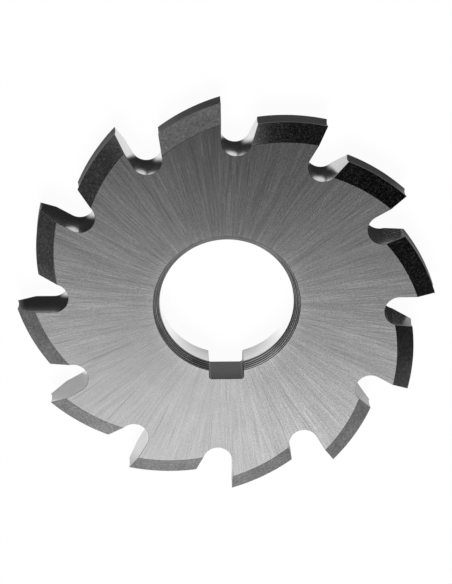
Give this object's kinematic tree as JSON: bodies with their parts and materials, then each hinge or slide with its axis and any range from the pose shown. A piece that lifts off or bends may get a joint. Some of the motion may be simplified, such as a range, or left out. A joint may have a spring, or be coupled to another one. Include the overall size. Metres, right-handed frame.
{
  "type": "spline milling cutter",
  "caption": "Form-relieved disc cutter with trapezoid teeth and a hollow crest, for milling the grooves of a splined shaft, on a keyed arbor bore.",
  "frame": {"origin": "on the bore axis at the lower side face", "axes": "+Z along the bore axis, up out of the upper side face; the keyway points along -Y"},
  "size_m": [0.0842, 0.0842, 0.0087],
  "materials": {
    "steel": "hardened high-speed steel: side faces ground with radial lines, relieved flanks matt, rake faces polished"
  },
  "bodies": {
    "root": {"cutter": "steel"}
  },
  "joints": []
}
